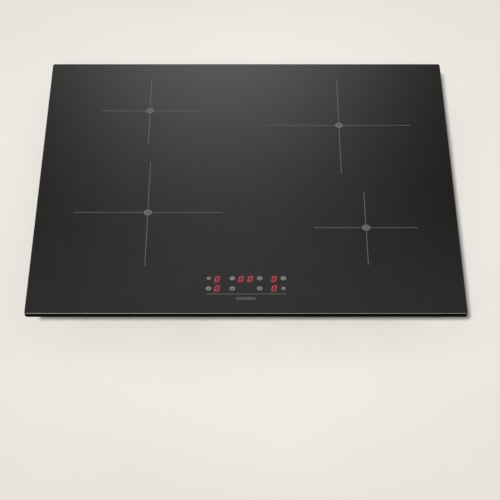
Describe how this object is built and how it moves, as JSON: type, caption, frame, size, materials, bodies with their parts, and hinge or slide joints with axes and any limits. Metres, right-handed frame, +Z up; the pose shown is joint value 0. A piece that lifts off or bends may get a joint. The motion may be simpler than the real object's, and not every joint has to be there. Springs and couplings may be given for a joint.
{
  "type": "built-in induction cooktop",
  "caption": "Built-in electric induction cooktop: bevelled black glass plate with cross-marked zones, front touch controls and red digits, slim vented steel case, fans and worktop clamps.",
  "frame": {"origin": "centre of the worktop cut-out, on the top of the worktop, which is the underside of the glass seal", "axes": "+X to the cook's right, +Y to the wall, +Z up"},
  "size_m": [0.59, 0.52, 0.06],
  "materials": {
    "black_glass": "polished",
    "fired_print": "satin",
    "lit_segments": "lit",
    "foam_seal": "matte",
    "silicone": "matte",
    "zinc_steel": "satin",
    "plated_screw": "bright",
    "aluminium": "satin",
    "pale_plastic": "matte",
    "black_plastic": "matte",
    "copper": "satin",
    "ferrite": "matte",
    "mica": "matte",
    "ceramic_mat": "matte",
    "sensor": "matte",
    "circuit_board": "gloss",
    "film_capacitor": "gloss",
    "electrolytic": "gloss",
    "brass": "satin",
    "wire": "matte",
    "sleeve": "matte",
    "ribbon": "matte",
    "conductive_foam": "matte",
    "grommet": "matte"
  },
  "bodies": {
    "case": {"glass_top": "black_glass", "worktop_seal": "foam_seal", "glass_adhesive": "silicone", "glass_frame": "zinc_steel", "frame_screws": "plated_screw", "case_tray": "zinc_steel", "coil_deck": "aluminium", "deck_posts": "aluminium", "coil_carriers": "pale_plastic", "coil_winding_front_left": "copper", "coil_winding_rear_left": "copper", "coil_winding_rear_right": "copper", "coil_winding_front_right": "copper", "coil_ferrites": "ferrite", "mica_sheets": "mica", "thermal_mats": "ceramic_mat", "temperature_sensors": "sensor", "power_board_left": "circuit_board", "power_board_right": "circuit_board", "heat_sinks": "aluminium", "power_transistors": "black_plastic", "film_capacitors": "film_capacitor", "filter_chokes": "copper", "electrolytic_capacitors": "electrolytic", "board_standoffs": "pale_plastic", "board_screws": "plated_screw", "coil_terminals": "brass", "coil_leads": "sleeve", "ribbon_cable": "ribbon", "mains_wires": "wire", "ui_board": "circuit_board", "ui_carrier": "black_plastic", "touch_springs": "conductive_foam", "display_modules": "black_plastic", "display_digits": "lit_segments", "control_markings": "fired_print", "zone_markings": "fired_print", "terminal_box": "black_plastic", "terminal_block": "pale_plastic", "terminal_screws": "brass", "cover_hinge_pin": "plated_screw", "cable_grommet": "grommet", "blower_housings": "black_plastic", "blower_motors": "copper", "clamp_brackets": "zinc_steel"},
    "terminal_cover": {"terminal_cover": "black_plastic"},
    "impeller_left": {"blower_impeller_left": "black_plastic"},
    "impeller_right": {"blower_impeller_right": "black_plastic"},
    "clamp_carriage_front_left": {"clamp_washer_front_left": "plated_screw"},
    "clamp_screw_front_left": {"clamp_screw_front_left": "plated_screw"},
    "clamp_claw_front_left": {"clamp_claw_front_left": "zinc_steel"},
    "clamp_carriage_front_right": {"clamp_washer_front_right": "plated_screw"},
    "clamp_screw_front_right": {"clamp_screw_front_right": "plated_screw"},
    "clamp_claw_front_right": {"clamp_claw_front_right": "zinc_steel"},
    "clamp_carriage_rear_left": {"clamp_washer_rear_left": "plated_screw"},
    "clamp_screw_rear_left": {"clamp_screw_rear_left": "plated_screw"},
    "clamp_claw_rear_left": {"clamp_claw_rear_left": "zinc_steel"},
    "clamp_carriage_rear_right": {"clamp_washer_rear_right": "plated_screw"},
    "clamp_screw_rear_right": {"clamp_screw_rear_right": "plated_screw"},
    "clamp_claw_rear_right": {"clamp_claw_rear_right": "zinc_steel"}
  },
  "joints": [
    {"name": "terminal_cover_hinge", "type": "hinge", "parent": "case", "child": "terminal_cover", "pos_m": [0.198, 0.1695, -0.0483], "axis": [-1, 0, 0], "range_deg": [0, 95]},
    {"name": "impeller_spin_left", "type": "hinge", "parent": "case", "child": "impeller_left", "pos_m": [-0.15, 0.189, -0.03], "axis": [0, 0, 1], "continuous": true},
    {"name": "impeller_spin_right", "type": "hinge", "parent": "case", "child": "impeller_right", "pos_m": [0.06, 0.189, -0.03], "axis": [0, 0, 1], "continuous": true},
    {"name": "clamp_lift_front_left", "type": "slide", "parent": "case", "child": "clamp_carriage_front_left", "axis": [0, 0, 1], "range_m": [0, 0.0096]},
    {"name": "clamp_screw_turn_front_left", "type": "hinge", "parent": "clamp_carriage_front_left", "child": "clamp_screw_front_left", "pos_m": [-0.265, -0.15, -0.0425], "axis": [0, 0, 1], "range_deg": [0, 4320]},
    {"name": "clamp_swing_front_left", "type": "hinge", "parent": "clamp_carriage_front_left", "child": "clamp_claw_front_left", "pos_m": [-0.265, -0.15, -0.0425], "axis": [0, 0, -1], "range_deg": [0, 90]},
    {"name": "clamp_lift_front_right", "type": "slide", "parent": "case", "child": "clamp_carriage_front_right", "axis": [0, 0, 1], "range_m": [0, 0.0096]},
    {"name": "clamp_screw_turn_front_right", "type": "hinge", "parent": "clamp_carriage_front_right", "child": "clamp_screw_front_right", "pos_m": [0.265, -0.15, -0.0425], "axis": [0, 0, 1], "range_deg": [0, 4320]},
    {"name": "clamp_swing_front_right", "type": "hinge", "parent": "clamp_carriage_front_right", "child": "clamp_claw_front_right", "pos_m": [0.265, -0.15, -0.0425], "axis": [0, 0, 1], "range_deg": [0, 90]},
    {"name": "clamp_lift_rear_left", "type": "slide", "parent": "case", "child": "clamp_carriage_rear_left", "axis": [0, 0, 1], "range_m": [0, 0.0096]},
    {"name": "clamp_screw_turn_rear_left", "type": "hinge", "parent": "clamp_carriage_rear_left", "child": "clamp_screw_rear_left", "pos_m": [-0.265, 0.15, -0.0425], "axis": [0, 0, 1], "range_deg": [0, 4320]},
    {"name": "clamp_swing_rear_left", "type": "hinge", "parent": "clamp_carriage_rear_left", "child": "clamp_claw_rear_left", "pos_m": [-0.265, 0.15, -0.0425], "axis": [0, 0, 1], "range_deg": [0, 90]},
    {"name": "clamp_lift_rear_right", "type": "slide", "parent": "case", "child": "clamp_carriage_rear_right", "axis": [0, 0, 1], "range_m": [0, 0.0096]},
    {"name": "clamp_screw_turn_rear_right", "type": "hinge", "parent": "clamp_carriage_rear_right", "child": "clamp_screw_rear_right", "pos_m": [0.265, 0.15, -0.0425], "axis": [0, 0, 1], "range_deg": [0, 4320]},
    {"name": "clamp_swing_rear_right", "type": "hinge", "parent": "clamp_carriage_rear_right", "child": "clamp_claw_rear_right", "pos_m": [0.265, 0.15, -0.0425], "axis": [0, 0, -1], "range_deg": [0, 90]}
  ],
  "couplings": [
    {"joint": "clamp_screw_turn_front_left", "follows": "clamp_lift_front_left", "rad_per_m": 7854},
    {"joint": "clamp_screw_turn_front_right", "follows": "clamp_lift_front_right", "rad_per_m": 7854},
    {"joint": "clamp_screw_turn_rear_left", "follows": "clamp_lift_rear_left", "rad_per_m": 7854},
    {"joint": "clamp_screw_turn_rear_right", "follows": "clamp_lift_rear_right", "rad_per_m": 7854}
  ]
}
